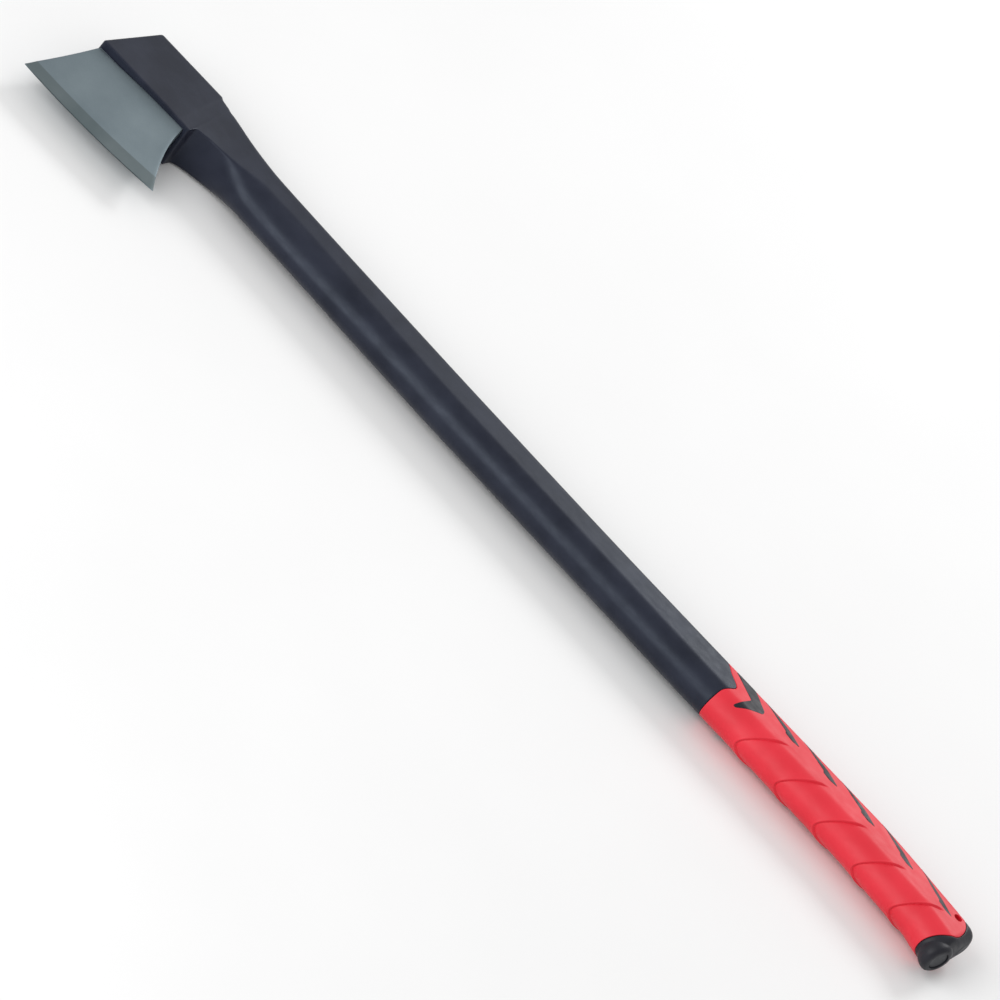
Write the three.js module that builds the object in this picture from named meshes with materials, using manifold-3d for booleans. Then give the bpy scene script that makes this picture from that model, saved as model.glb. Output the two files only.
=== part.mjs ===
// Long-handled fire axe: a forged steel wedge head held in a moulded nylon handle over a
// fibreglass core, with a red rubber grip, black grip inlays and a flared butt cap.
// Millimetres. x runs from the blade's toe to the butt, y from the cutting edge to the
// poll, z out of the left cheek. The axe lies on its right cheek.

import * as THREE from 'three';
import { mergeVertices } from 'three/addons/utils/BufferGeometryUtils.js';
import Module from 'manifold-3d';

const wasm = await Module();
wasm.setup();

// ---- Driving dimensions ----

const GAP = 0.3;                  // clearance between touching pieces
const THROUGH = 60;               // a cut this thick goes right through the axe

// Head, in side view: the cutting edge, then the corners where the blade enters the housing
const TOE = [0, -30.3];
const HEEL = [127, -24.1];
const EDGE_BOW = 3.3;             // how far the cutting edge bows out
const HEEL_CORNER = [103, 33];
const TOE_CORNER = [20.4, 28.5];
const HEEL_SWEEP = [104.5, 7];    // control points of the blade's two concave sides
const TOE_SWEEP = [11.6, -1.6];
const WEB_TOE_X = [29, 40];       // the web inside the housing, at the waist and at the poll
const WEB_HEEL_X = [99, 96];

// Head, across: half thicknesses from the edge to the poll
const BEVEL = 8.5;                // depth of the ground bevel
const EDGE_HALF = 0.35;
const BEVEL_HALF = 3.2;
const LIP_TOE_HALF = 13.6;
const LIP_HEEL_HALF = 16.4;
const WAIST_HALF = 8;
const POLL_HALF = 11.5;
const LIP_Y = 30;                 // the blade meets the front lip of the housing
const WAIST_START = 40;
const WAIST_END = 76;
const WAIST_RAMP = 4;
const POLL_Y = 92.8;              // striking face of the poll
const LOCK_HOLES = [[50, 58], [82, 58]];
const LOCK_HOLE_R = 6;            // nylon fills these holes in the web and locks the head

// Handle, one row per station: x, front, back, half thickness where the cheek meets the
// nose, half thickness at the back, depth of the nose, power of the nose's curve, radius of
// the back corners
const PROFILE = [
  [8, 29.8, 93.4, 19.9, 15.2, 1.5, 8, 5],
  [96, 29.8, 93.4, 19.9, 15.2, 1.5, 8, 5],
  [98, 29.8, 91.8, 19.7, 15.2, 1.5, 8, 5],
  [107, 30, 89.2, 19, 15.2, 1.5, 8, 5],
  [108.5, 37.5, 88.4, 18.8, 15.2, 1.5, 7, 5],
  [114, 40.2, 87.4, 18.1, 15.2, 1.8, 6, 5],
  [122, 42.0, 85.4, 17.3, 15.2, 2.5, 5, 5],
  [134, 42.6, 82.0, 16.7, 15.3, 6, 3.2, 5],
  [150, 39.5, 78.4, 16.4, 15.6, 18, 2.3, 5],
  [168, 35.9, 75.6, 16.2, 15.8, 30, 2, 5],
  [212, 33.6, 73.3, 16, 16, 34, 2, 5],
  [298, 31.4, 70.6, 16, 16, 28, 2, 5],
  [382, 29.4, 68.3, 16, 16, 26, 2, 5],
  [552, 27.6, 65.9, 16, 16, 26, 2, 5],
  [636, 26.5, 66.1, 16, 16, 26, 2, 5],
  [785, 26.6, 66.6, 16, 16, 26, 2, 5],
  [828, 24.2, 67.6, 16.2, 14.6, 27, 2, 7],
  [860, 22, 67.6, 16.6, 13.4, 28, 2, 9.5],
  [878, 16.4, 67.3, 17, 12.8, 29, 2, 10.5],
  [886, 10.5, 67, 16.6, 12.4, 30, 2, 11],
  [891, 8.4, 66.4, 15.4, 11.6, 30, 2, 10.6],
  [894.5, 10.2, 64.8, 12.8, 9.8, 28, 2, 9.2],
  [897, 14.5, 61.4, 9.2, 7.2, 24, 2, 6.8],
  [898.7, 20.5, 57, 5.2, 4.4, 18, 2, 4.2],
];
const HANDLE_START = PROFILE[0][0];
const HANDLE_END = PROFILE[PROFILE.length - 1][0];
const BULGE = 1.09;               // how far the nose's ellipse overshoots the cheek
const RING_STEP = 30;             // longest spacing of cross-sections

// Slanted top of the housing, from its front lip to past its back
const TOP_FRONT = [18.9, 28];
const TOP_BACK = [35, 94];

// Grip: rubber over a thinned stretch of the handle, between two wavy ends
const RUBBER = 2.6;
const GRIP_START = [[651, -20], [651, 38], [657, 49], [653, 53], [646, 56], [635, 66], [630, 110]];
const GRIP_END = [
  [876, -20], [876.5, 17], [881.5, 24], [890.5, 34], [892, 42], [891, 50], [888.5, 56], [882.8, 63], [880, 110],
];
const THIN_START = 610;           // the thinned stretch runs on inside the full one
const SPIGOT_END = 887;           // and ends here, inside the butt cap

// Grip inlays: outline of the chevron, and of one dart as offsets from its tip. The darts near
// the butt lean to follow the grip's curve.
const CHEVRON = [
  [646, 66], [647, 62], [669.5, 51.6], [664.5, 36],
  [667, 35.8], [682.5, 50.2], [681.5, 53.4], [676, 56.5], [660, 68],
];
const DART = [
  [-42, 9.6], [-29, 5.2], [-15.5, 1.6], [-14.5, -0.2], [-6.5, -1.3],
  [0, 0], [-6.5, 2.4], [-13.5, 4.7], [-32, 8],
];
const DART_TIPS = [[716.5, 54.6], [755, 54.9], [793.5, 54.6], [834, 53.8], [877, 49.4]];
const DART_LEANS = [0, 0, 0.01, 0.05, 0.13];
const INLAY_FROM = 4;             // inlays start this far from the axe's middle plane

// Lanyard hole, lined by the grip's rubber
const LANYARD = [879.4, 56.1];
const LANYARD_R = 3.4;
const LANYARD_LINING = 1.8;

// Plug in the end of the butt cap; its axis leans towards the front
const PLUG_FACE = [894.8, 21.4];  // middle of its face
const PLUG_LEAN = 20;             // degrees
const PLUG_R = 7.3;
const PLUG_LENGTH = 4;
const SOCKET_REACH = 8;           // the socket is cut this far past the plug's face

// Core rod
const CORE_END = 864;
const BORE_END = 878;             // the bore runs out into the lanyard hole
const CORE_HALF_Y = 9;
const CORE_HALF_Z = 7;
const CORE_LINE = [[116, 62], [212, 54], [382, 49], [552, 47], [785, 46.5], [CORE_END, 47]];

// ---- Materials ----

const plastic = (color, roughness) => new THREE.MeshStandardMaterial({ color, roughness, metalness: 0 });
const steel = new THREE.MeshStandardMaterial({ color: 0x6b7a7c, roughness: 0.45, metalness: 0.8 });
const nylon = plastic(0x23262e, 0.5);
const redRubber = plastic(0xd92534, 0.6);
const blackRubber = plastic(0x1d1f24, 0.55);
const fibreglass = plastic(0xc9bd8a, 0.5);

// ---- Solids ----

function toSolid(geometry) {
  geometry.deleteAttribute('normal');
  geometry.deleteAttribute('uv');
  const merged = mergeVertices(geometry, 1e-4);
  return new wasm.Manifold(new wasm.Mesh({
    numProp: 3,
    vertProperties: new Float32Array(merged.attributes.position.array),
    triVerts: new Uint32Array(merged.index.array),
  }));
}

function toGeometry(solid) {
  const mesh = solid.getMesh();
  const geometry = new THREE.BufferGeometry();
  geometry.setAttribute('position', new THREE.BufferAttribute(mesh.vertProperties, 3));
  geometry.setIndex(new THREE.BufferAttribute(mesh.triVerts, 1));
  return geometry;
}

// A closed skin through rings that hold the same number of points, capped at both ends
function loft(rings) {
  const count = rings[0].length;
  const faces = [];
  for (let i = 0; i + 1 < rings.length; i += 1) {
    for (let j = 0; j < count; j += 1) {
      const a = i * count + j;
      const b = i * count + ((j + 1) % count);
      faces.push(a, a + count, b, b, a + count, b + count);
    }
  }
  const last = (rings.length - 1) * count;
  for (let j = 1; j + 1 < count; j += 1) {
    faces.push(0, j, j + 1);
    faces.push(last, last + j + 1, last + j);
  }
  const geometry = new THREE.BufferGeometry().setFromPoints(rings.flat());
  geometry.setIndex(faces);
  return toSolid(geometry);
}

// A side view, given as points, made solid across the axe from z0 to z1
function plate(points, z0, z1) {
  const shape = new THREE.Shape(points.map(([x, y]) => new THREE.Vector2(x, y)));
  const geometry = new THREE.ExtrudeGeometry(shape, { depth: z1 - z0, bevelEnabled: false });
  geometry.translate(0, 0, z0);
  return toSolid(geometry);
}

const throughPlate = (points) => plate(points, -THROUGH / 2, THROUGH / 2);
const leftPlate = (points) => plate(points, INLAY_FROM, THROUGH / 2);
const rightPlate = (points) => plate(points, -THROUGH / 2, -INLAY_FROM);

// A round bar across the axe
function crossBar([x, y], radius) {
  const geometry = new THREE.CylinderGeometry(radius, radius, THROUGH, 16);
  geometry.rotateX(Math.PI / 2);
  geometry.translate(x, y, 0);
  return toSolid(geometry);
}


// Moves every side of an outline outwards by a distance
function grown(points, distance) {
  return points.map((point, i) => {
    const before = points[(i + points.length - 1) % points.length];
    const after = points[(i + 1) % points.length];
    const a = new THREE.Vector2(point[0] - before[0], point[1] - before[1]).normalize();
    const b = new THREE.Vector2(after[0] - point[0], after[1] - point[1]).normalize();
    const out = new THREE.Vector2(a.y + b.y, -a.x - b.x).normalize();
    const reach = distance / Math.max(out.dot(new THREE.Vector2(a.y, -a.x)), 0.5);
    return [point[0] + out.x * reach, point[1] + out.y * reach];
  });
}

// ---- The handle's outer shape ----

// The slope of one column at a row, without overshoot
function slopeAt(row, column) {
  if (row === 0 || row === PROFILE.length - 1) return 0;
  const [x0, x1, x2] = [-1, 0, 1].map((k) => PROFILE[row + k][0]);
  const [v0, v1, v2] = [-1, 0, 1].map((k) => PROFILE[row + k][column]);
  const before = (v1 - v0) / (x1 - x0);
  const after = (v2 - v1) / (x2 - x1);
  return before * after > 0 ? (2 * before * after) / (before + after) : 0;
}

function profileAt(x) {
  const found = PROFILE.findIndex((row) => row[0] > x);
  const i = found < 0 ? PROFILE.length - 2 : Math.max(found - 1, 0);
  const span = PROFILE[i + 1][0] - PROFILE[i][0];
  const t = (x - PROFILE[i][0]) / span;
  return PROFILE[i].map((value, column) => {
    const ease = 3 * t ** 2 - 2 * t ** 3;
    const into = slopeAt(i, column) * span * (t ** 3 - 2 * t ** 2 + t);
    const out = slopeAt(i + 1, column) * span * (t ** 3 - t ** 2);
    return value * (1 - ease) + PROFILE[i + 1][column] * ease + into + out;
  });
}

// One cross-section, inset all round: nose, flat cheek, rounded back corner, and its mirror
function section(x, inset) {
  const [, front, back, cheek, rear, nose, power, cornerR] = profileAt(x);
  const full = Math.asin((1 / BULGE) ** (power / 2));
  const depth = nose - Math.min(inset, nose / 2);
  const half = [];
  const noseSteps = 5;
  for (let k = 0; k <= noseSteps; k += 1) {
    const a = full * (k / noseSteps);
    const y = front + inset + depth * (1 - Math.cos(a) ** (2 / power));
    half.push([y, (cheek - inset) * BULGE * Math.sin(a) ** (2 / power)]);
  }
  const r = cornerR - inset;
  const cornerSteps = 3;
  for (let k = 0; k <= cornerSteps; k += 1) {
    const a = (Math.PI / 2) * (k / cornerSteps);
    half.push([back - inset - r + r * Math.sin(a), rear - inset - r + r * Math.cos(a)]);
  }
  const mirror = half.slice(1).reverse().map(([y, z]) => [y, -z]);
  return [...half, ...mirror].map(([y, z]) => new THREE.Vector3(x, y, z));
}

function handleShape(from, to, inset) {
  const marks = PROFILE.map((row) => row[0]).filter((x) => x > from && x < to);
  const stops = [from, ...marks, to];
  const rings = [section(from, inset)];
  for (let i = 1; i < stops.length; i += 1) {
    const length = stops[i] - stops[i - 1];
    const steps = Math.ceil(length / RING_STEP);
    for (let k = 1; k <= steps; k += 1) {
      rings.push(section(stops[i - 1] + length * (k / steps), inset));
    }
  }
  return loft(rings);
}

const outer = handleShape(HANDLE_START, HANDLE_END, 0);

// The outer skin where the handle is thinned, one rubber thickness deep, and the cap beyond
const skin = outer.subtract(handleShape(THIN_START, SPIGOT_END + GAP, RUBBER));

// The stretch of the axe between the grip's two wavy ends, drawn in by a margin
function gripStretch(margin) {
  const start = GRIP_START.map(([x, y]) => [x + margin, y]);
  const end = GRIP_END.map(([x, y]) => [x - margin, y]);
  return throughPlate([...start.reverse(), ...end]);
}

// ---- Head ----

function headOutline() {
  const middle = [(TOE[0] + HEEL[0]) / 2, (TOE[1] + HEEL[1]) / 2 - 2 * EDGE_BOW];
  const shape = new THREE.Shape();
  shape.moveTo(...TOE);
  shape.quadraticCurveTo(...middle, ...HEEL);
  shape.quadraticCurveTo(...HEEL_SWEEP, ...HEEL_CORNER);
  shape.lineTo(WEB_HEEL_X[0], WAIST_START);
  shape.lineTo(WEB_HEEL_X[1], POLL_Y);
  shape.lineTo(WEB_TOE_X[1], POLL_Y);
  shape.lineTo(WEB_TOE_X[0], WAIST_START);
  shape.lineTo(...TOE_CORNER);
  shape.quadraticCurveTo(...TOE_SWEEP, ...TOE);
  return shape.getPoints(5).slice(0, -1).map((p) => [p.x, p.y]);
}

// Wedge, waist and poll as cross-sections along x, not yet cut to the side view
function headBlank(extra) {
  const rings = [];
  const steps = 6;
  for (let i = 0; i <= steps; i += 1) {
    const t = i / steps;
    const x = THREE.MathUtils.lerp(TOE[0] - 1, HEEL[0] + 1, t);
    const edge = THREE.MathUtils.lerp(TOE[1], HEEL[1], t) - 4 * EDGE_BOW * t * (1 - t);
    const lip = THREE.MathUtils.mapLinear(x, TOE_CORNER[0], HEEL_CORNER[0], LIP_TOE_HALF, LIP_HEEL_HALF);
    const half = [
      [edge - extra, EDGE_HALF],
      [edge + BEVEL, BEVEL_HALF],
      [LIP_Y, lip],
      [WAIST_START - WAIST_RAMP + extra, lip],
      [WAIST_START + extra, WAIST_HALF],
      [WAIST_END - extra, WAIST_HALF],
      [WAIST_END + WAIST_RAMP - extra, POLL_HALF],
      [POLL_Y + extra, POLL_HALF],
    ].map(([y, z]) => [y, z + extra]);
    const mirror = [...half].reverse().map(([y, z]) => [y, -z]);
    rings.push([...half, ...mirror].map(([y, z]) => new THREE.Vector3(x, y, z)));
  }
  return loft(rings);
}

// The head, or with extra all round the pocket that it fills
function headSolid(extra) {
  let solid = headBlank(extra).intersect(throughPlate(grown(headOutline(), extra)));
  for (const centre of LOCK_HOLES) {
    solid = solid.subtract(crossBar(centre, LOCK_HOLE_R - extra));
  }
  return solid;
}

function headPocket() {
  const poll = grown([
    [WEB_HEEL_X[1], POLL_Y], [WEB_HEEL_X[1], POLL_Y + 5],
    [WEB_TOE_X[1], POLL_Y + 5], [WEB_TOE_X[1], POLL_Y],
  ], GAP);
  return headSolid(GAP).add(plate(poll, -POLL_HALF - GAP, POLL_HALF + GAP));
}

// ---- Handle, core and grip ----

// The core rod, or with extra all round the longer bore that holds it
function coreSolid(extra) {
  const line = new THREE.CatmullRomCurve3(CORE_LINE.map(([x, y]) => new THREE.Vector3(x, y, 0)));
  const rings = [];
  const steps = 16;
  const sides = 12;
  for (let i = 0; i <= steps; i += 1) {
    const centre = line.getPointAt(i / steps);
    if (i === 0) centre.x -= extra;
    const ring = [];
    for (let k = 0; k < sides; k += 1) {
      const a = (2 * Math.PI * k) / sides;
      const y = centre.y - (CORE_HALF_Y + extra) * Math.cos(a);
      ring.push(new THREE.Vector3(centre.x, y, (CORE_HALF_Z + extra) * Math.sin(a)));
    }
    rings.push(ring);
  }
  if (extra > 0) {
    rings.push(rings[steps].map((p) => new THREE.Vector3(BORE_END, p.y, p.z)));
  }
  return loft(rings);
}

function handleBody() {
  const aboveTop = [TOP_FRONT, TOP_BACK, [TOP_BACK[0], 130], [-60, 130], [-60, -60], [0, -60]];
  const beyondGripStart = [...GRIP_START, [960, 110], [960, -20]].reverse();
  return outer
    .subtract(throughPlate(aboveTop))
    .subtract(throughPlate(beyondGripStart))
    .add(handleShape(THIN_START, SPIGOT_END, RUBBER + GAP))
    .subtract(headPocket())
    .subtract(coreSolid(GAP))
    .subtract(crossBar(LANYARD, LANYARD_R + LANYARD_LINING + GAP));
}

// Outlines of the inlays on one cheek, by name
function inlayOutlines() {
  const outlines = { chevron: CHEVRON };
  DART_TIPS.forEach(([x, y], i) => {
    outlines[`dart_${i + 1}`] = DART.map(([dx, dy]) => [x + dx, y + dy - DART_LEANS[i] * dx]);
  });
  return outlines;
}

function gripSleeve() {
  const stretch = gripStretch(GAP);
  let sleeve = skin.intersect(stretch);
  for (const outline of Object.values(inlayOutlines())) {
    sleeve = sleeve.subtract(leftPlate(grown(outline, GAP))).subtract(rightPlate(grown(outline, GAP)));
  }
  const lining = crossBar(LANYARD, LANYARD_R + LANYARD_LINING).intersect(outer).intersect(stretch);
  return sleeve.add(lining).subtract(crossBar(LANYARD, LANYARD_R));
}

// ---- Butt cap and plug ----

// The plug, or with extra all round and out past its face the socket that it sits in
function plugSolid(extra) {
  const reach = extra > 0 ? SOCKET_REACH : 0;
  const length = PLUG_LENGTH + extra + reach;
  const geometry = new THREE.CylinderGeometry(PLUG_R + extra, PLUG_R + extra, length, 20);
  geometry.translate(0, reach - length / 2, 0);
  geometry.rotateZ(-Math.PI / 2 - THREE.MathUtils.degToRad(PLUG_LEAN));
  geometry.translate(PLUG_FACE[0], PLUG_FACE[1], 0);
  return toSolid(geometry);
}

function buttCap() {
  const beyondGrip = [...GRIP_END, [960, 110], [960, -20]].reverse();
  return outer
    .intersect(throughPlate(beyondGrip))
    .subtract(handleShape(THIN_START, SPIGOT_END + GAP, RUBBER))
    .subtract(plugSolid(GAP));
}

// ---- Assembly ----

const axe = new THREE.Group();

function place(name, solid, material) {
  const part = new THREE.Mesh(toGeometry(solid), material);
  part.name = name;
  axe.add(part);
}

place('axe_head', headSolid(0), steel);
place('handle_body', handleBody(), nylon);
place('core_rod', coreSolid(0), fibreglass);
place('grip_sleeve', gripSleeve(), redRubber);
for (const [name, outline] of Object.entries(inlayOutlines())) {
  place(`left_${name}`, skin.intersect(leftPlate(outline)), blackRubber);
  place(`right_${name}`, skin.intersect(rightPlate(outline)), blackRubber);
}
place('butt_cap', buttCap(), blackRubber);
place('end_plug', plugSolid(0), nylon);

// The origin is under the middle of the axe, on the surface that it lies on
const model = new THREE.Group();
model.add(axe);
const box = new THREE.Box3().setFromObject(axe);
const centre = box.getCenter(new THREE.Vector3());
axe.position.set(-centre.x, -centre.y, -box.min.z);

export default model;
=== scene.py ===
import math

import bmesh
import bpy
import numpy as np
from mathutils import Matrix, Vector


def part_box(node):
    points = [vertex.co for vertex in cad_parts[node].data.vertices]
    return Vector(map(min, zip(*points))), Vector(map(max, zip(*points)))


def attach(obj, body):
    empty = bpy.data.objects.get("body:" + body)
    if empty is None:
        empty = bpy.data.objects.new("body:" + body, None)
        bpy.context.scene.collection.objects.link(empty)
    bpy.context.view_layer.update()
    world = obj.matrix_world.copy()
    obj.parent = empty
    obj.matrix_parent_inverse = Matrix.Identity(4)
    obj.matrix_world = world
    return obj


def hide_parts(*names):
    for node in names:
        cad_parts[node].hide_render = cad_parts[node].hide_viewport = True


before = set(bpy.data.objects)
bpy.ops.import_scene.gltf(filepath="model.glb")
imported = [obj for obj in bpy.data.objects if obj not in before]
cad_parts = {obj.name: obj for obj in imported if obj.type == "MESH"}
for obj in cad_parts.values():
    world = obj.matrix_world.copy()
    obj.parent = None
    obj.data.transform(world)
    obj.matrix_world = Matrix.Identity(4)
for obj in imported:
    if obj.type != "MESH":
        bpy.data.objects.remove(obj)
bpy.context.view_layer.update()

# The looks of a long-handled fire axe. Shapes are worked out in the axe's own millimetres, as
# the solids are: x from the blade's toe to the butt, y from the cutting edge to the poll,
# z out of the left cheek. place() turns them into the frame's metres.


# ---- Driving dimensions ----

MM = 0.001

# Head, in side view: the ends of the cutting edge, the corners where the blade meets the
# nylon's lip, and the points that its two curved sides are pulled towards
TOE = (0, -30.3)
HEEL = (127, -24.1)
TOE_CORNER = (20.4, 28.5)
HEEL_CORNER = (103, 33)
TOE_SWEEP = (11.6, -1.6)
HEEL_SWEEP = (104.5, 7)
EDGE_BOW = 3.3                    # how far the cutting edge bulges between its ends
BEVEL = 8.5                       # width of the ground bevel

# Head, across: half thicknesses at the edge, at the end of the bevel and at the lip
EDGE_HALF = 0.35
BEVEL_HALF = 3.2
LIP_TOE_HALF = 13.6
LIP_HEEL_HALF = 16.4
SIDE_ROUND = 0.9                  # rounding of the blade's side edges
SHOULDER = 0.9                    # how far the blade steps in where it enters the nylon
SHOULDER_FROM = 0.968             # share of the way to the lip where the step starts

# Web inside the housing and poll behind it, one row per station: y, toe side, heel side,
# half thickness. Then the poll's rounded rim: rise past the last row, and how far drawn in.
WEB = [(35, 21, 103, 14), (40, 29, 99, 8), (76, 35, 97, 8), (80, 39, 96.4, 11.5), (92, 40, 96, 11.5)]
POLL_RIM = [(0.45, 0.1), (0.7, 0.3), (0.8, 0.8)]
POLL_Y = WEB[-1][0] + POLL_RIM[-1][0]

# Pocket of the housing round the steel
STEEL_GAP = 0.35
POLL_CUT = (88, 96)               # the poll's opening, from inside the nylon out past it
ROOT_FROM = 0.8                   # share of the way to the lip from where the blade is cut out

# How finely the blade is divided on its way from the edge to the lip: shares of the bevel,
# number of rings on the face, and shares of the shoulder
BEVEL_SHARE = BEVEL / (HEEL_CORNER[1] - HEEL[1])    # the bevel's own share of the way
BEVEL_STEPS = (0, 0.3, 0.7, 0.97, 1)
FACE_RINGS = 20
SHOULDER_STEPS = (0.4, 0.65, 0.82, 0.93, 0.98, 1)

# Handle, one row per station: x, front, back, half thickness where the cheek meets the
# nose, half thickness at the back, depth of the nose, power of the nose's curve, radius of
# the back corners
PROFILE = np.array([
    [8, 29.8, 93.4, 19.9, 15.2, 1.5, 8, 5],
    [84, 29.8, 93.4, 19.9, 15.2, 1.5, 8, 5],
    [96, 29.8, 93.4, 19.6, 15.2, 1.5, 8, 5],
    [98, 29.8, 91.8, 19.5, 15.2, 1.5, 8, 5],
    [106, 29.8, 89.5, 19.06, 15.2, 1.5, 8, 5],
    [107, 30.6, 89.2, 19, 15.2, 1.5, 8, 5],
    [108.5, 37.5, 88.4, 18.46, 15.2, 1.5, 7, 5],
    [114, 40.2, 87.4, 17.95, 15.2, 1.8, 6, 5],
    [122, 42.0, 85.4, 17.3, 15.2, 2.5, 5, 5],
    [134, 42.6, 82.0, 16.7, 15.3, 6, 3.2, 5],
    [150, 39.5, 78.4, 16.4, 15.6, 18, 2.3, 5],
    [168, 35.9, 75.6, 16.2, 15.8, 30, 2, 5],
    [212, 33.6, 73.3, 16, 16, 34, 2, 5],
    [298, 31.4, 70.6, 16, 16, 28, 2, 5],
    [382, 29.4, 68.3, 16, 16, 26, 2, 5],
    [552, 27.6, 65.9, 16, 16, 26, 2, 5],
    [636, 26.5, 66.1, 16, 16, 26, 2, 5],
    [785, 26.6, 66.6, 16, 16, 26, 2, 5],
    [828, 24.2, 67.6, 16.2, 14.6, 27, 2, 7],
    [860, 22, 67.6, 16.6, 13.4, 28, 2, 9.5],
    [878, 17.2, 67.3, 17, 12.8, 29, 2, 10.5],
    [889, 15.5, 66.8, 16.3, 12.1, 29, 2, 11],
    [892, 18, 66.2, 14.9, 11, 26, 2, 10.4],
    [894.2, 26, 64.9, 12.2, 9.5, 18, 2, 9],
    [896.2, 38, 62.2, 8.4, 7, 9, 2, 6.6],
    [897.3, 46, 58.5, 4.4, 4, 4, 2, 3.8],
])
BULGE = 1.09                      # how far the nose's ellipse overshoots the cheek
SIDES = 224                       # points round a cross-section
NOSE_POINTS = 40                  # points of the half outline that it is sampled from
CORNER_POINTS = 12
OVERSAMPLE = 4                    # how many times finer a cross-section is while it is eased
TABLE_STEP = 0.5                  # spacing of the table of cross-sections
HOUSING_SOFTNESS = 0.5            # how far edges are eased on the housing, up to NECK[0]
HANDLE_SOFTNESS = 1.3             # and on the handle, from NECK[1] on
NECK = (110, 150)

# Housing
TOP_FRONT = (18.9, 28)            # ends of its slanted top in side view
TOP_BACK = (35, 94)
TOP_ROUND = 1.6                   # rounding of the top's rim
CENTRE_Y = 61                     # middle of the housing
SHEAR_END = 92                    # where cross-sections stand square to the handle again
BODY_FROM = 170                   # where the handle is even enough for wide steps
BODY_STEP = 3

# Rings of the handle up to there, as (from, to, spacing): close where the front drops away
BODY_RINGS = [(SHEAR_END + 1, 106, 1), (106, 110, 0.3), (110, BODY_FROM, 1.5)]

# Lines (y, x) across the handle where the grip starts and ends
GRIP_START = [(-20, 651), (38, 651), (49, 657), (53, 653), (56, 646), (66, 635), (110, 630)]
GRIP_END = [
    (-20, 876), (17, 876.5), (24, 881.5), (34, 890.5), (42, 892),
    (50, 891), (56, 888.5), (62.8, 882.8), (110, 880),
]
SEAM = 0.16                       # half the width of the line between two mouldings
SEAM_END = 1.2                    # how far from a moulding's end its rounding starts
RUBBER_STEP = 0.5                 # spacing of the rings of the grip and the cap

# Overlapping scales on the grip's belly
SCALES = 5
SCALE_FIRST = 685.5               # tip of the first scale
SCALE_PITCH = 39.9
SCALE_CENTRE_Y = 52               # middle of the turn round the belly
SCALE_RADIUS = 20                 # radius that turns angles round it into widths
SCALE_FLARE = 1.15                # how fast a scale's edge runs back from its tip
SCALE_TIP = 4                     # roundness of the tip
SCALE_LENGTH = 9                  # how fast the step fades along the handle
SCALE_STEP = 0.55                 # half the step from one scale to the next
SCALE_EDGE = 0.35                 # width of the step
SCALE_REACH = 27                  # width at which the relief has faded out
SCALE_FADE = 6                    # width over which it fades
SCALE_BEAD = (0.28, -1.1, 0.8)    # bead before a scale's edge: height, place past it, width
SCALE_LINE = (-0.3, 0.5, 0.45)    # line sunk behind it

# Inlays of the left cheek in side view; a dart's points are measured from its tip
CHEVRON = [
    (646, 65.7), (647, 62), (669.5, 51.6), (664.5, 36),
    (667, 35.8), (682.5, 50.2), (681.5, 53.4), (676, 56.5), (661.5, 65.7),
]
DART = [
    (-42, 9.6), (-29, 5.2), (-15.5, 1.6), (-14.5, -0.2), (-6.5, -1.3),
    (0, 0), (-6.5, 2.4), (-13.5, 4.7), (-32, 8),
]
DART_TIPS = [(716.5, 54.6), (755, 54.9), (793.5, 54.6), (834, 53.8), (877, 49.4)]
DART_LEANS = [0, 0, 0.01, 0.05, 0.13]   # how steeply each dart is turned from the first
INLAY_PROUD = 0.14
INLAY_EDGE = 0.05                 # how far an inlay's rim is eased down
INLAY_DEPTH = 1.2
INLAY_CORNER = 1.4                # length of the curve at each corner of an outline
INLAY_STEP_X = 2                  # spacing of the cuts that let an inlay follow the skin
INLAY_STEP_Y = 0.8

# Lanyard hole, and its upper half as (height, radius) with a flare at the mouth
LANYARD = (879.4, 56.1)
LANYARD_R = 3.4
LANYARD_MOUTH = [(15, LANYARD_R), (16.2, 3.6), (17.6, 4.6), (22, 4.6)]

# Boss on the butt cap, and the plug in it
BOSS_TIP = (895.5, 21.9)
BOSS_LEAN = math.radians(20)
BOSS_R = 12.6
BOSS_ROUND = 4
PLUG_R = 7.3
PLUG_SUNK = 0.9                   # depth of the plug's rim below the boss's face
PLUG_DISH = 0.35                  # how much deeper its middle is
CAP_VOXEL = 0.45                  # size of the voxels that blend the boss into the cap

# ---- Place in the frame ----

# The housing and handle are even about z 0, and the poll's face is at POLL_Y
head_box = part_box("axe_head")
body_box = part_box("handle_body")
ORIGIN = np.array([
    head_box[0].x,
    head_box[1].y - POLL_Y * MM,
    (body_box[0].z + body_box[1].z) / 2,
])


def place(points):
    """Points in the axe's millimetres as points in the frame's metres."""
    return ORIGIN + np.asarray(points, float) * MM


# ---- Meshes ----


def add_object(name, data):
    made = bpy.data.objects.new(name, data)
    bpy.context.scene.collection.objects.link(made)
    return made


def add_bmesh(name, bm):
    """An object from a bmesh, which is then freed."""
    mesh = bpy.data.meshes.new(name)
    bm.to_mesh(mesh)
    bm.free()
    return add_object(name, mesh)


def shade(piece, smooth_below=35):
    """Smooth shading, except over edges sharper than an angle."""
    piece.data.shade_smooth()
    piece.data.set_sharp_from_angle(angle=math.radians(smooth_below))


def mesh_object(name, points, faces, smooth_below=35):
    """A shaded mesh from points in the axe's millimetres."""
    mesh = bpy.data.meshes.new(name)
    mesh.from_pydata([tuple(p) for p in place(points)], [], faces)
    mesh.update()
    piece = add_object(name, mesh)
    shade(piece, smooth_below)
    return piece


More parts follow.
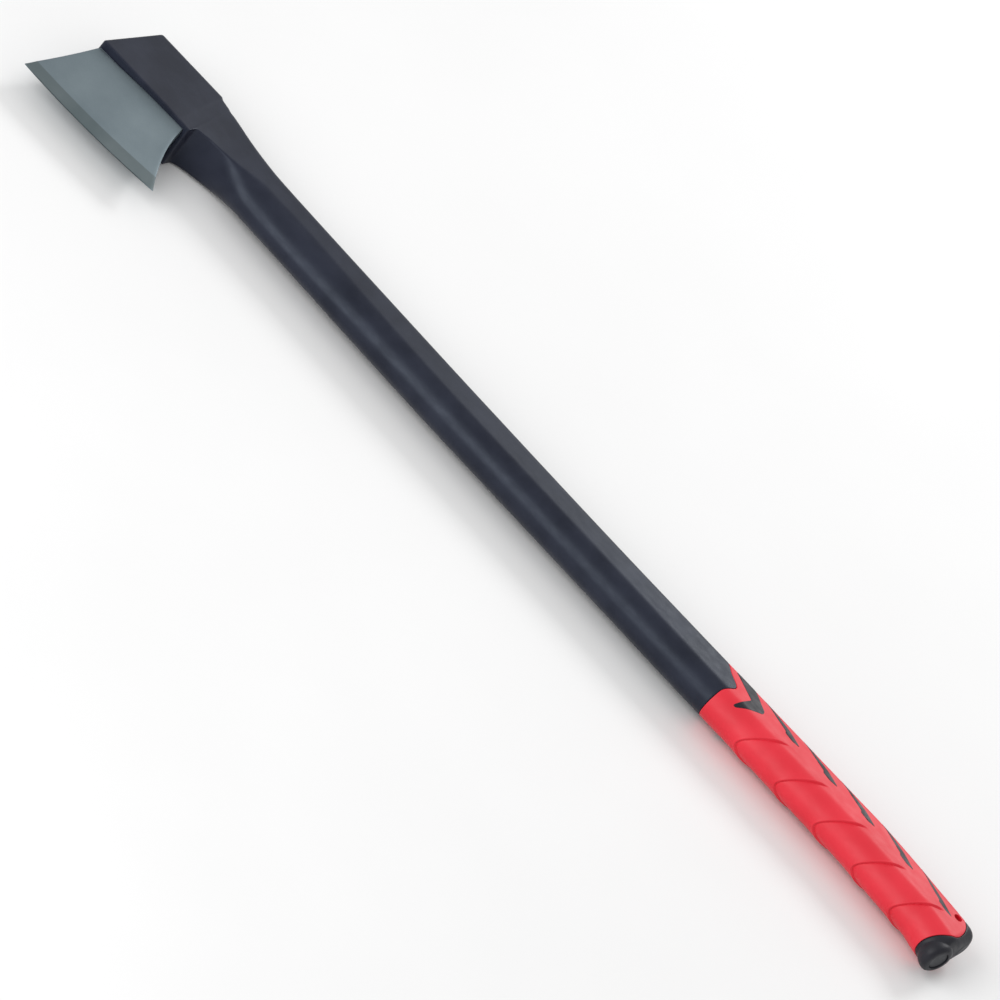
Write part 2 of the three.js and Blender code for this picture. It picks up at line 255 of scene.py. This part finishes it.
def tube(rings):
    """Points and faces of a closed skin through rings of equal length, fanned shut at both ends."""
    rings = [np.asarray(ring, float) for ring in rings]
    count = len(rings[0])
    faces = []
    for i in range(len(rings) - 1):
        for j in range(count):
            a = i * count + j
            b = i * count + (j + 1) % count
            faces.append((a, a + count, b + count, b))
    first = len(rings) * count
    last = (len(rings) - 1) * count
    for j in range(count):
        k = (j + 1) % count
        faces.append((first, j, k))
        faces.append((first + 1, last + k, last + j))
    points = np.vstack(rings + [rings[0].mean(0), rings[-1].mean(0)])
    return points, faces


def outwards(piece):
    """Turns all faces of a closed piece outwards."""
    bm = bmesh.new()
    bm.from_mesh(piece.data)
    bmesh.ops.recalc_face_normals(bm, faces=bm.faces)
    bm.to_mesh(piece.data)
    bm.free()
    return piece


def tube_object(name, rings, smooth_below=35):
    return outwards(mesh_object(name, *tube(rings), smooth_below))


def apply_modifiers(piece):
    depsgraph = bpy.context.evaluated_depsgraph_get()
    mesh = bpy.data.meshes.new_from_object(piece.evaluated_get(depsgraph))
    piece.modifiers.clear()
    piece.data = mesh


def combine(piece, other, operation):
    """Joins or cuts piece by other, which is then removed."""
    modifier = piece.modifiers.new("combine", "BOOLEAN")
    modifier.operation = operation
    modifier.solver = "EXACT"
    modifier.object = other
    apply_modifiers(piece)
    bpy.data.objects.remove(other)


# ---- The handle's outer shape ----


def slopes(column):
    """The slope of one column of PROFILE at each row, without overshoot."""
    step = np.diff(column) / np.diff(PROFILE[:, 0])
    before, after = step[:-1], step[1:]
    total = before + after
    safe = np.where(total == 0, 1, total)
    inner = np.where(before * after > 0, 2 * before * after / safe, 0)
    return np.concatenate([[0], inner, [0]])


SLOPES = np.column_stack([slopes(PROFILE[:, k]) for k in range(PROFILE.shape[1])])


def profile_at(x):
    """The row that PROFILE would have at x, on smooth curves between its rows."""
    i = int(np.clip(np.searchsorted(PROFILE[:, 0], x, "right") - 1, 0, len(PROFILE) - 2))
    span = PROFILE[i + 1, 0] - PROFILE[i, 0]
    t = (x - PROFILE[i, 0]) / span
    ease = 3 * t**2 - 2 * t**3
    into = SLOPES[i] * span * (t**3 - 2 * t**2 + t)
    out = SLOPES[i + 1] * span * (t**3 - t**2)
    return PROFILE[i] * (1 - ease) + PROFILE[i + 1] * ease + into + out


def half_section(x):
    """Front, flat cheek and rounded back corner on the left of the middle plane."""
    _, front, back, cheek, rear, nose, power, r = profile_at(x)
    full = math.asin((1 / BULGE) ** (power / 2))
    a = full * np.linspace(0, 1, NOSE_POINTS) ** 1.5      # close together where the nose turns
    y = front + nose * (1 - np.cos(a) ** (2 / power))
    z = cheek * BULGE * np.sin(a) ** (2 / power)
    b = np.linspace(0, math.pi / 2, CORNER_POINTS)
    corner_y = back - r + r * np.sin(b)
    corner_z = rear - r + r * np.cos(b)
    return np.concatenate([y, corner_y, [back]]), np.concatenate([z, corner_z, [0]])


def section(x):
    """One cross-section as SIDES evenly spaced points from the front round by the left."""
    y, z = half_section(x)
    y = np.concatenate([y, y[-2::-1]])
    z = np.concatenate([z, -z[-2::-1]])
    along = np.concatenate([[0], np.cumsum(np.hypot(np.diff(y), np.diff(z)))])
    even = np.linspace(0, along[-1], OVERSAMPLE * SIDES, endpoint=False)
    ring = np.interp(even, along, y) + 1j * np.interp(even, along, z)
    # A Gaussian blur along the outline eases its edges
    softness = np.interp(x, NECK, [HOUSING_SOFTNESS, HANDLE_SOFTNESS])
    waves = np.fft.fftfreq(len(ring), 1 / len(ring)) * 2 * math.pi / along[-1]
    ring = np.fft.ifft(np.fft.fft(ring) * np.exp(-0.5 * (waves * softness) ** 2))
    ring = ring[::OVERSAMPLE]
    return np.column_stack([ring.real, ring.imag])


TABLE_X = np.arange(PROFILE[0, 0], PROFILE[-1, 0] + TABLE_STEP / 2, TABLE_STEP)
TABLE = np.array([section(min(x, PROFILE[-1, 0])) for x in TABLE_X])
COLUMNS = np.arange(SIDES)


def skin(x):
    """Points of the outer shape: column j of the table at x[j], or at x if that is one number."""
    x = np.broadcast_to(x, (SIDES,))
    row = np.clip((x - TABLE_X[0]) / TABLE_STEP, 0, len(TABLE_X) - 1.001)
    i = row.astype(int)                # never the last row, so that there is one after it
    t = (row - i)[:, None]
    yz = TABLE[i, COLUMNS] * (1 - t) + TABLE[i + 1, COLUMNS] * t
    return np.column_stack([x, yz])


def inset(ring, distance):
    """A ring drawn in towards its middle by about a distance all round."""
    middle = np.array([(ring[:, 1].min() + ring[:, 1].max()) / 2, 0])
    reach = np.array([np.ptp(ring[:, 1]) / 2, np.ptp(ring[:, 2]) / 2])
    drawn = ring.copy()
    drawn[:, 1:] = middle + (ring[:, 1:] - middle) * (1 - distance / reach)
    return drawn


def boundary(line, shift, samples=400, width=27, rounds=12):
    """
    x of the ring where the outer shape meets a wavy line across the handle, moved along by
    shift. The line's corners are softened over a width in samples, and the ring is found by
    drawing nearer to the line in rounds, because the shape's y depends on x.
    """
    ys, xs = zip(*line)
    fine_y = np.linspace(ys[0], ys[-1], samples)
    fine_x = np.interp(fine_y, ys, xs)
    kernel = np.hanning(width) / np.hanning(width).sum()
    fine_x = np.convolve(np.pad(fine_x, width // 2, "edge"), kernel, "valid")
    x = np.full(SIDES, float(np.mean(xs)))
    for _ in range(rounds):
        x = 0.5 * x + 0.5 * (np.interp(skin(x)[:, 1], fine_y, fine_x) + shift)
    return x


def end_rings(x, way):
    """Rings that round off a moulding at a wavy end; way is +1 at its butt end, -1 at its head end."""
    # How far each ring stands back from the end, and how far it is drawn in
    steps = [(0.9, 0), (0.35, 0.03), (0.1, 0.15), (0, 0.4), (0, 3)]
    return [inset(skin(x - way * back), drawn) for back, drawn in steps][::way]


def between(x0, x1, step):
    """Rings of the outer shape from one wavy line to another."""
    count = max(int(np.ceil(np.max(x1 - x0) / step)), 2)
    return [skin(x0 + (x1 - x0) * t) for t in np.linspace(0, 1, count + 1)]


# ---- Axe head ----


def bend(a, b, c, t):
    """A point on the quadratic curve from a to c that is pulled towards b."""
    a, b, c = np.array(a, float), np.array(b, float), np.array(c, float)
    return a * (1 - t) ** 2 + 2 * b * t * (1 - t) + c * t**2


def side_edge(x, y, half, inwards):
    """A rounded side edge of the head, from its side up to its left face."""
    r = min(SIDE_ROUND, 0.6 * half)
    turns = np.radians([0, 30, 60, 90])
    return [(x + inwards * (r - r * math.cos(a)), y, half - r + r * math.sin(a)) for a in turns]


def head_ring(toe_side, heel_side, halves, bow, across=36):
    """A ring round the head: its left face from the toe side on, then its right face back."""
    u = np.linspace(0, 1, across)
    line = toe_side + (heel_side - toe_side) * u[:, None]
    line[:, 1] -= 4 * bow * u * (1 - u)
    half = halves[0] + (halves[1] - halves[0]) * u
    face = np.vstack([
        side_edge(*line[0], half[0], 1),
        np.column_stack([line, half])[1:-1],
        side_edge(*line[-1], half[-1], -1)[::-1],
    ])
    return np.vstack([face, face[::-1] * (1, 1, -1)])


def blade_halves(extra, t):
    """Half thicknesses at the toe side and the heel side, at a share t of the way to the lip."""
    if t <= BEVEL_SHARE:
        half = EDGE_HALF + (BEVEL_HALF - EDGE_HALF) * t / BEVEL_SHARE
        return [half, half]
    rest = (t - BEVEL_SHARE) / (1 - BEVEL_SHARE)
    turn = np.clip((t - SHOULDER_FROM) / (1 - SHOULDER_FROM), 0, 1)
    shoulder = SHOULDER * (1 - math.sqrt(1 - turn**2))
    return [
        BEVEL_HALF + (lip - BEVEL_HALF) * rest + extra - shoulder
        for lip in (LIP_TOE_HALF, LIP_HEEL_HALF)
    ]


def blade_rings(extra=0, start=0):
    """Rings of the blade from a share of the way to the lip on; extra makes it that much bigger."""
    shares = [BEVEL_SHARE * k for k in BEVEL_STEPS]
    shares += [BEVEL_SHARE * 1.03]        # close behind the bevel, to keep its border crisp
    shares += list(np.linspace(BEVEL_SHARE * 1.4, SHOULDER_FROM, FACE_RINGS))
    shares += [SHOULDER_FROM + (1 - SHOULDER_FROM) * k for k in SHOULDER_STEPS]
    rings = []
    for t in shares:
        if t >= start:
            toe_side = bend(TOE, TOE_SWEEP, TOE_CORNER, t) - (extra, 0)
            heel_side = bend(HEEL, HEEL_SWEEP, HEEL_CORNER, t) + (extra, 0)
            rings.append(head_ring(toe_side, heel_side, blade_halves(extra, t), EDGE_BOW * (1 - t)))
    return rings


def web_ring(y, toe_side, heel_side, half):
    """A straight ring of even thickness, for the web and the poll."""
    return head_ring(np.array([toe_side, y]), np.array([heel_side, y]), (half, half), 0)


def make_head():
    rings = blade_rings() + [web_ring(*row) for row in WEB]
    y, toe_side, heel_side, half = WEB[-1]
    for rise, drawn in POLL_RIM:
        rings.append(web_ring(y + rise, toe_side + drawn, heel_side - drawn, half - drawn))
    return tube_object("forged_head", rings, 30)


# ---- Handle ----


def housing_rings():
    """Rings from the slanted, rounded top of the housing to where they stand square."""
    slope = (TOP_BACK[0] - TOP_FRONT[0]) / (TOP_BACK[1] - TOP_FRONT[1])
    start = TOP_FRONT[0] + (CENTRE_Y - TOP_FRONT[1]) * slope
    y = skin(start)[:, 1]
    rings = []
    for turn in (90, 75, 60, 45, 30, 15, 0):
        a = math.radians(turn)
        x = start + slope * (y - CENTRE_Y) + TOP_ROUND * (1 - math.sin(a))
        rings.append(inset(skin(x), TOP_ROUND * (1 - math.cos(a))))
    for t in np.linspace(0.03, 1, 34):
        centre = start + TOP_ROUND + (SHEAR_END - start - TOP_ROUND) * t
        rings.append(skin(centre + slope * (y - CENTRE_Y) * (1 - t)))
    return rings


def box_cutter(name, low, high):
    """A box between two corners, to cut with."""
    bm = bmesh.new()
    bmesh.ops.create_cube(bm, size=1)
    low, high = place(low), place(high)
    for vertex in bm.verts:
        vertex.co = Vector(low + (high - low) * (np.array(vertex.co) + 0.5))
    return add_bmesh(name, bm)


def make_body():
    end = boundary(GRIP_START, -SEAM)
    rings = housing_rings()
    for x0, x1, step in BODY_RINGS:
        rings += [skin(x) for x in np.arange(x0, x1, step)]
    rings += between(np.full(SIDES, BODY_FROM), end - SEAM_END, BODY_STEP)
    rings += end_rings(end, 1)
    body = tube_object("moulded_handle", rings)
    _, toe_side, heel_side, half = WEB[-1]
    low = (toe_side - STEEL_GAP, POLL_CUT[0], -half - STEEL_GAP)
    high = (heel_side + STEEL_GAP, POLL_CUT[1], half + STEEL_GAP)
    combine(body, box_cutter("poll_cut", low, high), "DIFFERENCE")
    combine(body, tube_object("blade_cut", blade_rings(STEEL_GAP, ROOT_FROM)), "DIFFERENCE")
    shade(body)
    return body


# ---- Grip ----


def scale_relief(x, y, z):
    """
    How far the belly's scales stand out at points of the grip. The handle rises towards each
    scale's edge and drops behind it; past is how far a point lies behind the edge.
    """
    around = np.abs(np.arctan2(z, SCALE_CENTRE_Y - y)) * SCALE_RADIUS
    relief = np.zeros(len(x))
    for k in range(SCALES):
        tip = SCALE_FIRST + SCALE_PITCH * k
        past = x - (tip + np.hypot(SCALE_FLARE * around, SCALE_TIP) - SCALE_TIP)
        rise = np.exp(-(np.minimum(past, 0) / SCALE_LENGTH) ** 2)
        hollow = -np.exp(-np.maximum(past, 0) / SCALE_LENGTH)
        step = 0.5 + 0.5 * np.tanh(past / SCALE_EDGE)
        relief += SCALE_STEP * (rise * (1 - step) + hollow * step)
        for height, at, width in (SCALE_BEAD, SCALE_LINE):
            relief += height * np.exp(-((past - at) / width) ** 2)
    fade = np.clip((SCALE_REACH - around) / SCALE_FADE, 0, 1)
    return relief * fade**2 * (3 - 2 * fade)


def lanyard_rings(sides=40):
    """Rings of the lanyard hole, from below the grip to above it."""
    turns = np.linspace(0, 2 * math.pi, sides, endpoint=False)
    lower = [(-height, radius) for height, radius in reversed(LANYARD_MOUTH)]
    rings = []
    for height, radius in lower + LANYARD_MOUTH:
        x = LANYARD[0] + radius * np.cos(turns)
        y = LANYARD[1] + radius * np.sin(turns)
        rings.append(np.column_stack([x, y, np.full(sides, height)]))
    return rings


def make_grip():
    start = boundary(GRIP_START, SEAM)
    end = boundary(GRIP_END, -SEAM)
    rings = end_rings(start, -1)
    for ring in between(start + SEAM_END, end - SEAM_END, RUBBER_STEP):
        tangent = np.roll(ring, -1, 0) - np.roll(ring, 1, 0)
        normal = np.column_stack([tangent[:, 2], -tangent[:, 1]])
        normal /= np.linalg.norm(normal, axis=1)[:, None]
        outward = normal * np.sign(-normal[0, 0])      # y falls outwards at the ring's first point
        relief = scale_relief(ring[:, 0], ring[:, 1], ring[:, 2])
        ring[:, 1:] += outward * relief[:, None]
        rings.append(ring)
    rings += end_rings(end, 1)
    grip = tube_object("rubber_grip", rings)
    combine(grip, tube_object("lanyard_cut", lanyard_rings()), "DIFFERENCE")
    shade(grip)
    return grip


# ---- Inlays ----


def cheek_height(x, y):
    """Height of the grip's left skin, with its scales, over a point of the side view."""
    half = skin(x)[: SIDES // 2 + 1]
    z = np.interp(y, half[:, 1], half[:, 2])
    return z + scale_relief(np.array([x]), np.array([y]), np.array([z]))[0]


def rounded_outline(points, steps=4):
    """The outline with each corner turned into a short curve."""
    points = np.array(points, float)
    outline = []
    for before, here, after in zip(np.roll(points, 1, 0), points, np.roll(points, -1, 0)):
        to_before = np.linalg.norm(before - here)
        to_after = np.linalg.norm(after - here)
        reach = min(INLAY_CORNER, 0.45 * to_before, 0.45 * to_after)
        start = here + (before - here) / to_before * reach
        end = here + (after - here) / to_after * reach
        outline += [bend(start, here, end, t) for t in np.linspace(0, 1, steps + 1)]
    return outline


def cut_across(bm, axis, low, high, step):
    """Cuts a flat mesh by planes square to an axis, evenly spaced."""
    for at in np.arange(low + step / 2, high, step):
        centre = Vector((0, 0, 0))
        normal = Vector((0, 0, 0))
        centre[axis] = at
        normal[axis] = 1
        everything = bm.verts[:] + bm.edges[:] + bm.faces[:]
        bmesh.ops.bisect_plane(bm, geom=everything, plane_co=centre, plane_no=normal)


def make_inlay(name, outline, side):
    """A nearly flush inlay that follows the skin of one cheek; side is +1 left and -1 right."""
    bm = bmesh.new()
    bm.faces.new([bm.verts.new((x, y, 0)) for x, y in rounded_outline(outline)])
    xs, ys = zip(*outline)
    cut_across(bm, 0, min(xs), max(xs), INLAY_STEP_X)
    cut_across(bm, 1, min(ys), max(ys), INLAY_STEP_Y)
    bmesh.ops.triangulate(bm, faces=bm.faces[:])
    made = set(bmesh.ops.extrude_face_region(bm, geom=bm.faces[:])["geom"])
    for vertex in bm.verts:
        height = cheek_height(vertex.co.x, vertex.co.y)
        if vertex in made:
            on_rim = any(face not in made for face in vertex.link_faces)
            height += INLAY_PROUD - (INLAY_EDGE if on_rim else 0)
        else:
            height -= INLAY_DEPTH
        vertex.co = Vector(place((vertex.co.x, vertex.co.y, side * height)))
    bmesh.ops.recalc_face_normals(bm, faces=bm.faces)
    inlay = add_bmesh(name, bm)
    shade(inlay, 50)
    return inlay


# ---- Butt cap and plug ----


def turned(name, profile, steps=64):
    """A turned piece on the boss's axis; its profile holds (radius, distance out from the tip)."""
    axis = np.array([math.cos(BOSS_LEAN), -math.sin(BOSS_LEAN), 0])
    sideways = np.array([math.sin(BOSS_LEAN), math.cos(BOSS_LEAN), 0])
    up = np.array([0, 0, 1])
    turns = np.linspace(0, 2 * math.pi, steps, endpoint=False)[:, None]
    tip = np.array([*BOSS_TIP, 0])
    rings = [
        tip + axis * along + radius * (np.cos(turns) * sideways + np.sin(turns) * up)
        for radius, along in profile
    ]
    return tube_object(name, rings)


def arc(radius_centre, along_centre, r, start, end, steps=8):
    """A round stretch of a turned piece's profile, between two angles in degrees."""
    turns = np.radians(np.linspace(start, end, steps))
    return [(radius_centre + r * math.cos(a), along_centre + r * math.sin(a)) for a in turns]


def make_cap():
    """The cap over the butt, with the boss blended into it and a socket for the plug."""
    start = boundary(GRIP_END, SEAM)
    finish = np.full(SIDES, PROFILE[-1, 0])
    rings = end_rings(start, -1) + between(start + SEAM_END, finish, RUBBER_STEP)
    for drawn in (0.9, 2.1):
        rings.append(inset(rings[-1], drawn))
    cap = tube_object("soft_butt_cap", rings)
    root = [(5, -17), (8.5, -15), (10.6, -12), (12.0, -9), (BOSS_R, -6)]
    nose = arc(BOSS_R - BOSS_ROUND, -BOSS_ROUND, BOSS_ROUND, 0, 90)
    combine(cap, turned("boss", root + nose + [(4, 0)]), "UNION")
    remesh = cap.modifiers.new("even", "REMESH")
    remesh.mode = "VOXEL"
    remesh.voxel_size = CAP_VOXEL * MM
    smooth = cap.modifiers.new("blend", "SMOOTH")
    smooth.factor = 0.5
    smooth.iterations = 10
    apply_modifiers(cap)
    socket = [(-0.6, -3.4), (0.15, -3.0), (0.15, -0.6), (0.75, 0.3), (1.5, 2)]
    socket = [(PLUG_R + wider, along) for wider, along in socket]
    combine(cap, turned("socket_cut", socket), "DIFFERENCE")
    shade(cap, 45)
    return cap


def make_plug():
    back = [(0.3, -3.2), (PLUG_R - 0.3, -3.2), (PLUG_R, -2.9)]
    edge = arc(PLUG_R - 0.5, -PLUG_SUNK - 0.5, 0.5, 0, 90, 5)
    dish_r = PLUG_R - 1.2
    dish = [(r, -PLUG_SUNK - PLUG_DISH * (1 - (r / dish_r) ** 2)) for r in (dish_r, 4.5, 3, 1.5, 0.3)]
    return turned("end_disc", back + edge + dish)


# ---- Materials ----


def new_material(name):
    material = bpy.data.materials.new(name)
    material.use_nodes = True
    tree = material.node_tree
    return material, tree, tree.nodes["Principled BSDF"]


def noise(tree, scale, detail, stretch=(1, 1, 1)):
    """Noise over the piece's own place in the frame; scale counts features per metre."""
    where = tree.nodes.new("ShaderNodeTexCoord")
    mapping = tree.nodes.new("ShaderNodeMapping")
    mapping.inputs["Scale"].default_value = stretch
    texture = tree.nodes.new("ShaderNodeTexNoise")
    texture.inputs["Scale"].default_value = scale
    texture.inputs["Detail"].default_value = detail
    texture.inputs["Roughness"].default_value = 0.55
    tree.links.new(where.outputs["Object"], mapping.inputs["Vector"])
    tree.links.new(mapping.outputs["Vector"], texture.inputs["Vector"])
    return texture.outputs["Fac"]


def remap(tree, value, low, high, start=0.35, end=0.65):
    """Stretches the range of a noise from start to end over low to high."""
    node = tree.nodes.new("ShaderNodeMapRange")
    node.inputs["From Min"].default_value = start
    node.inputs["From Max"].default_value = end
    node.inputs["To Min"].default_value = low
    node.inputs["To Max"].default_value = high
    tree.links.new(value, node.inputs["Value"])
    return node.outputs["Result"]


def blend_colours(tree, value, first, second, start=0.35, end=0.65):
    node = tree.nodes.new("ShaderNodeMix")
    node.data_type = "RGBA"
    node.inputs["A"].default_value = (*first, 1)
    node.inputs["B"].default_value = (*second, 1)
    tree.links.new(remap(tree, value, 0, 1, start, end), node.inputs["Factor"])
    return node.outputs["Result"]


def add_bump(tree, shader, layers):
    """Bump from several heights: (noise, strength, height in metres) from the coarsest on."""
    normal = None
    for value, strength, height in layers:
        bump = tree.nodes.new("ShaderNodeBump")
        bump.inputs["Strength"].default_value = strength
        bump.inputs["Distance"].default_value = height
        tree.links.new(value, bump.inputs["Height"])
        if normal:
            tree.links.new(normal, bump.inputs["Normal"])
        normal = bump.outputs["Normal"]
    tree.links.new(normal, shader.inputs["Normal"])


def moulded(name, dark, light, rough, grain, grain_height, sheen=0.0, specular=0.5, tint=(1, 1, 1)):
    """
    A moulded plastic or rubber: cloudy colour, uneven gloss, and the mould's fine grain. rough
    is a range, grain counts bumps per metre, and tint colours the gloss.
    """
    material, tree, shader = new_material(name)
    cloud = noise(tree, 35, 5)
    colour = blend_colours(tree, cloud, dark, light)
    tree.links.new(colour, shader.inputs["Base Color"])
    smear = noise(tree, 90, 6, (1, 2.2, 2.2))
    tree.links.new(remap(tree, smear, *rough), shader.inputs["Roughness"])
    add_bump(tree, shader, [
        (noise(tree, 160, 3), 0.25, 0.00012),
        (noise(tree, grain, 2), 0.5, grain_height),
    ])
    shader.inputs["Specular IOR Level"].default_value = specular
    shader.inputs["Specular Tint"].default_value = (*tint, 1)
    shader.inputs["Sheen Weight"].default_value = sheen
    shader.inputs["Sheen Roughness"].default_value = 0.4
    return material


def satin_steel(name, dark, light, rough, stretch=(1, 1, 1)):
    """
    Blasted or ground steel: a grey that drifts a little, fine marks and a satin gloss. stretch
    draws the marks out into lines.
    """
    material, tree, shader = new_material(name)
    shader.inputs["Metallic"].default_value = 0.75
    colour = blend_colours(tree, noise(tree, 28, 6), dark, light, 0.3, 0.7)
    tree.links.new(colour, shader.inputs["Base Color"])
    marks = noise(tree, 900, 4, stretch)
    tree.links.new(remap(tree, marks, *rough), shader.inputs["Roughness"])
    add_bump(tree, shader, [
        (noise(tree, 120, 3), 0.15, 0.0001),
        (marks, 0.35, 0.00002),
        (noise(tree, 2600, 2), 0.3, 0.00002),
    ])
    shader.inputs["Anisotropic"].default_value = 0.2
    return material


STEEL = satin_steel(
    "blasted_steel",
    dark=(0.175, 0.22, 0.245),
    light=(0.22, 0.27, 0.295),
    rough=(0.42, 0.52),
)
BEVEL_STEEL = satin_steel(
    "ground_bevel",
    dark=(0.13, 0.165, 0.175),
    light=(0.17, 0.205, 0.215),
    rough=(0.34, 0.46),
    stretch=(1.0, 0.05, 0.3),
)
NYLON = moulded(
    "black_nylon",
    dark=(0.009, 0.010, 0.019),
    light=(0.017, 0.019, 0.032),
    rough=(0.36, 0.46),
    grain=1500,
    grain_height=0.00006,
    specular=0.31,
    tint=(0.74, 0.85, 1.0),
)
RED = moulded(
    "red_rubber",
    dark=(0.70, 0.010, 0.027),
    light=(0.76, 0.015, 0.035),
    rough=(0.5, 0.57),
    grain=2600,
    grain_height=0.00003,
    sheen=0.06,
)
BLACK = moulded(
    "black_rubber",
    dark=(0.009, 0.009, 0.014),
    light=(0.015, 0.015, 0.022),
    rough=(0.4, 0.54),
    grain=2600,
    grain_height=0.00003,
    specular=0.3,
)
PLUG = moulded(
    "plug_plastic",
    dark=(0.014, 0.016, 0.021),
    light=(0.02, 0.022, 0.029),
    rough=(0.38, 0.5),
    grain=1800,
    grain_height=0.00003,
    specular=0.35,
)
RESIN = moulded(
    "core_resin",
    dark=(0.5, 0.43, 0.22),
    light=(0.66, 0.58, 0.34),
    rough=(0.3, 0.42),
    grain=900,
    grain_height=0.00005,
)


def finish_piece(piece, material, slot, *nodes):
    piece.data.materials.clear()
    piece.data.materials.append(material)
    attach(piece, "root")
    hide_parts(*nodes)
    return piece


# ---- The axe ----

head = finish_piece(make_head(), STEEL, "steel", "axe_head")
head.data.materials.append(BEVEL_STEEL)
bevel_faces = (len(BEVEL_STEPS) - 1) * len(blade_rings()[0])
for polygon in head.data.polygons[:bevel_faces]:
    polygon.material_index = 1

finish_piece(make_body(), NYLON, "nylon", "handle_body")
finish_piece(make_grip(), RED, "red_rubber", "grip_sleeve")
finish_piece(make_cap(), BLACK, "black_rubber", "butt_cap")
finish_piece(make_plug(), PLUG, "nylon", "end_plug")

for side, sign in (("left", 1), ("right", -1)):
    outlines = {"chevron": CHEVRON}
    for number, ((x, y), lean) in enumerate(zip(DART_TIPS, DART_LEANS), 1):
        outlines[f"dart_{number}"] = [(x + dx, y + dy - lean * dx) for dx, dy in DART]
    for shape, outline in outlines.items():
        node = f"{side}_{shape}"
        finish_piece(make_inlay(f"{node}_inlay", outline, sign), BLACK, "black_rubber", node)

# The core is carried over from the frame, with its own material
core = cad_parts["core_rod"]
core.data.materials.clear()
core.data.materials.append(RESIN)

# ---- Floor, light and camera ----


def make_floor(reach=30):
    """A pale, plain floor; reach is in metres."""
    material, tree, shader = new_material("pale_floor")
    colour = blend_colours(tree, noise(tree, 3, 3), (0.86, 0.86, 0.86), (0.88, 0.88, 0.88))
    tree.links.new(colour, shader.inputs["Base Color"])
    shader.inputs["Roughness"].default_value = 0.9
    mesh = bpy.data.meshes.new("floor")
    square = ((-1, -1), (1, -1), (1, 1), (-1, 1))
    mesh.from_pydata([(reach * x, reach * y, 0) for x, y in square], [], [(0, 1, 2, 3)])
    mesh.materials.append(material)
    floor = add_object("floor", mesh)


def area_light(name, position, target, power, width):
    light = bpy.data.lights.new(name, "AREA")
    light.energy = power
    light.shape = "DISK"
    light.size = width
    lamp = add_object(name, light)
    lamp.location = position
    lamp.rotation_euler = (Vector(target) - Vector(position)).to_track_quat("-Z", "Y").to_euler()


def make_world():
    world = bpy.data.worlds.new("studio")
    world.use_nodes = True
    background = world.node_tree.nodes["Background"]
    background.inputs["Color"].default_value = (1, 1, 1, 1)
    background.inputs["Strength"].default_value = 0.62
    bpy.context.scene.world = world


def make_camera():
    """A long lens, so that the axe keeps its thickness from end to end as in a catalogue picture."""
    back = Vector((0.178, -0.791, 0.585)).normalized()
    right = Vector((-0.7138, 0.306, 0.630)).cross(back).normalized()
    up = back.cross(right)
    aim = Vector((-0.0146, 0.0469, -0.0219))
    distance = 24
    frame_width = 0.6966
    data = bpy.data.cameras.new("camera")
    data.sensor_width = 36
    data.lens = data.sensor_width * distance / frame_width
    data.clip_end = 100
    camera = add_object("camera", data)
    turn = Matrix((right, up, back)).transposed().to_4x4()
    camera.matrix_world = Matrix.Translation(aim + back * distance) @ turn
    bpy.context.scene.camera = camera


make_floor()
make_world()
area_light("key", position=(-0.9, -1.9, 1.5), target=(0, 0, 0), power=36, width=2.0)
area_light("back", position=(0.2, 1.9, 1.4), target=(0.2, 0, 0), power=20, width=0.9)
make_camera()

scene = bpy.context.scene
scene.view_settings.view_transform = "Standard"
